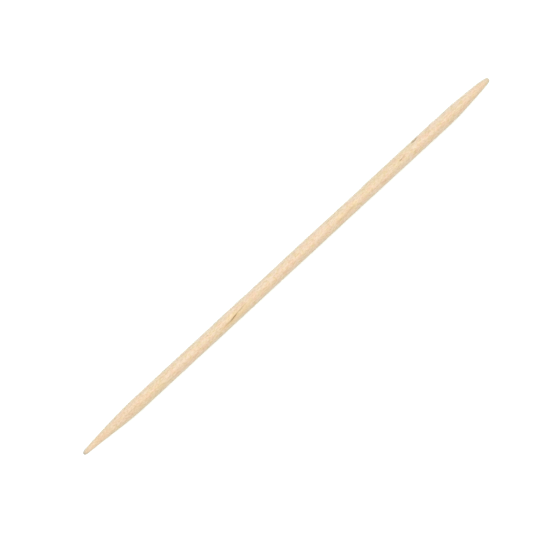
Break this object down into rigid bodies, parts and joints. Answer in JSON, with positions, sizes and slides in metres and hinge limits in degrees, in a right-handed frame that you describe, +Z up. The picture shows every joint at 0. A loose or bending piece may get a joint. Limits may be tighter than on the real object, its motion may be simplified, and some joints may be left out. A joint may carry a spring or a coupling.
{
  "type": "cuticle pusher",
  "caption": "Slim round wooden stick with a slender pointed end and a blunter rounded end, for pushing back cuticles and cleaning round nails.",
  "frame": {"origin": "bottom centre: on the surface that the stick lies on, under the middle of its length", "axes": "+X along the stick towards the blunter pusher end, -X towards the slender pointed end, +Z up"},
  "size_m": [0.115, 0.003, 0.003],
  "materials": {
    "birch": "bare sanded birch, matte, uncoated, pale cream with faint lengthwise grain and small brown flecks"
  },
  "bodies": {
    "root": {"birch_stick": "birch"}
  },
  "joints": []
}
